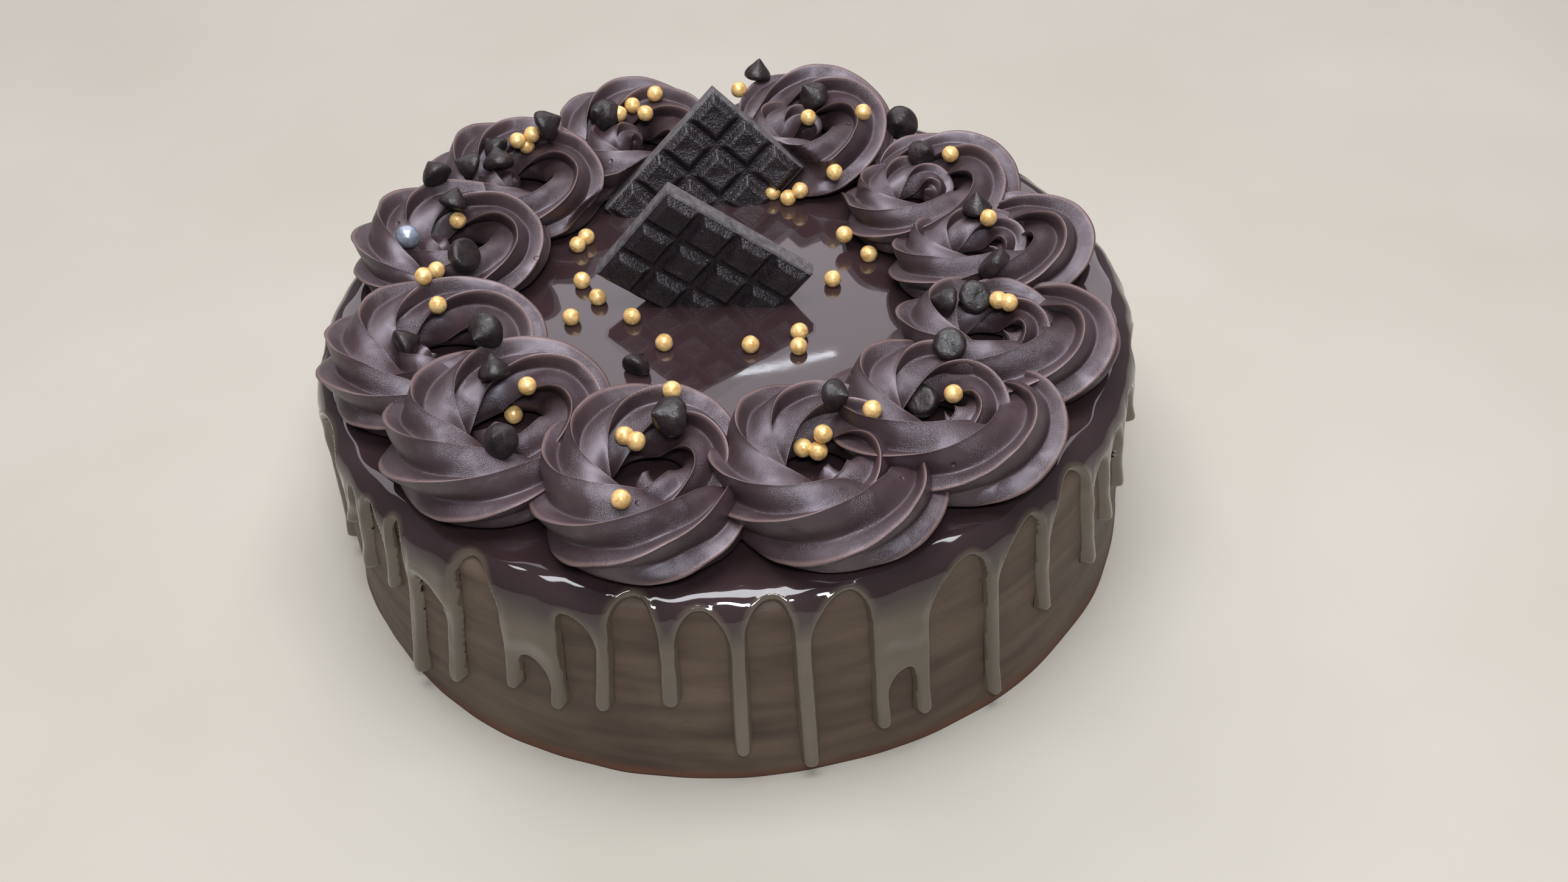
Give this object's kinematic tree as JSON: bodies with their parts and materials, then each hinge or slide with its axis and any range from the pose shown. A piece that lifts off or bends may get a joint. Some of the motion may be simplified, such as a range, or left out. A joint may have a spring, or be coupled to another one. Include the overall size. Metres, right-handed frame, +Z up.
{
  "type": "chocolate truffle cake",
  "caption": "Round chocolate truffle cake with a dripping dark glaze, a ring of piped chocolate cream rosettes, chocolate chips, gold sugar pearls and moulded chocolate bars.",
  "frame": {"origin": "centre of the flat bottom of the cake", "axes": "+Z up from the bottom, -Y towards the side that the picture shows in front, +X to its right"},
  "size_m": [0.2223, 0.2229, 0.1012],
  "materials": {
    "ganache": "scraped chocolate ganache with a faint sheen",
    "glaze": "glossy dark chocolate glaze",
    "cream": "satin chocolate cream with fine pores",
    "dark_chocolate": "satin dark chocolate"
  },
  "bodies": {
    "root": {"cake": "ganache", "glaze": "glaze", "rosette_01": "cream", "rosette_02": "cream", "rosette_03": "cream", "rosette_04": "cream", "rosette_05": "cream", "rosette_06": "cream", "rosette_07": "cream", "rosette_08": "cream", "rosette_09": "cream", "rosette_10": "cream", "rosette_11": "cream", "rosette_12": "cream", "chip_01": "dark_chocolate", "chip_02": "dark_chocolate", "chip_03": "dark_chocolate", "chip_04": "dark_chocolate", "chip_05": "dark_chocolate", "chip_06": "dark_chocolate", "chip_07": "dark_chocolate", "chip_08": "dark_chocolate", "chip_09": "dark_chocolate", "chip_10": "dark_chocolate", "chip_11": "dark_chocolate", "chip_12": "dark_chocolate", "chip_13": "dark_chocolate", "chip_14": "dark_chocolate", "chip_15": "dark_chocolate", "chip_16": "dark_chocolate", "chip_17": "dark_chocolate", "chip_18": "dark_chocolate", "chip_19": "dark_chocolate", "chip_20": "dark_chocolate", "chip_21": "dark_chocolate", "chip_22": "dark_chocolate", "chip_23": "dark_chocolate", "chip_24": "dark_chocolate", "chip_25": "dark_chocolate", "bar_front": "dark_chocolate", "bar_rear": "dark_chocolate"}
  },
  "joints": []
}
